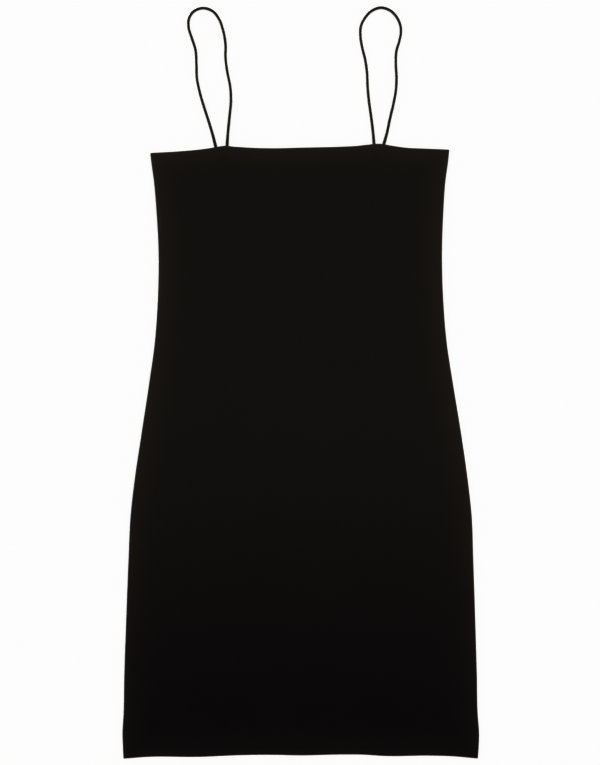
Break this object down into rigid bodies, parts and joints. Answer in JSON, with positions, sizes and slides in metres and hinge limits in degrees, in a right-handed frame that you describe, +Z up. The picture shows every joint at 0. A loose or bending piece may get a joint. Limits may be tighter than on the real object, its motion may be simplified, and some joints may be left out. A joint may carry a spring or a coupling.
{
  "type": "slip dress",
  "caption": "Short slip dress of smooth matt stretch jersey with thin round shoulder straps, laid flat on its back.",
  "frame": {"origin": "on the surface the dress lies on, under the middle of the whole dress with its straps", "axes": "+X to the right as laid, front panel up; +Y from the hem to the straps; +Z up from the surface"},
  "size_m": [0.4628, 0.9773, 0.0055],
  "materials": {
    "black_jersey": "matte",
    "black_strap": "matte"
  },
  "bodies": {
    "root": {"front_panel": "black_jersey", "back_panel": "black_jersey", "strap_left": "black_strap", "strap_right": "black_strap"}
  },
  "joints": []
}
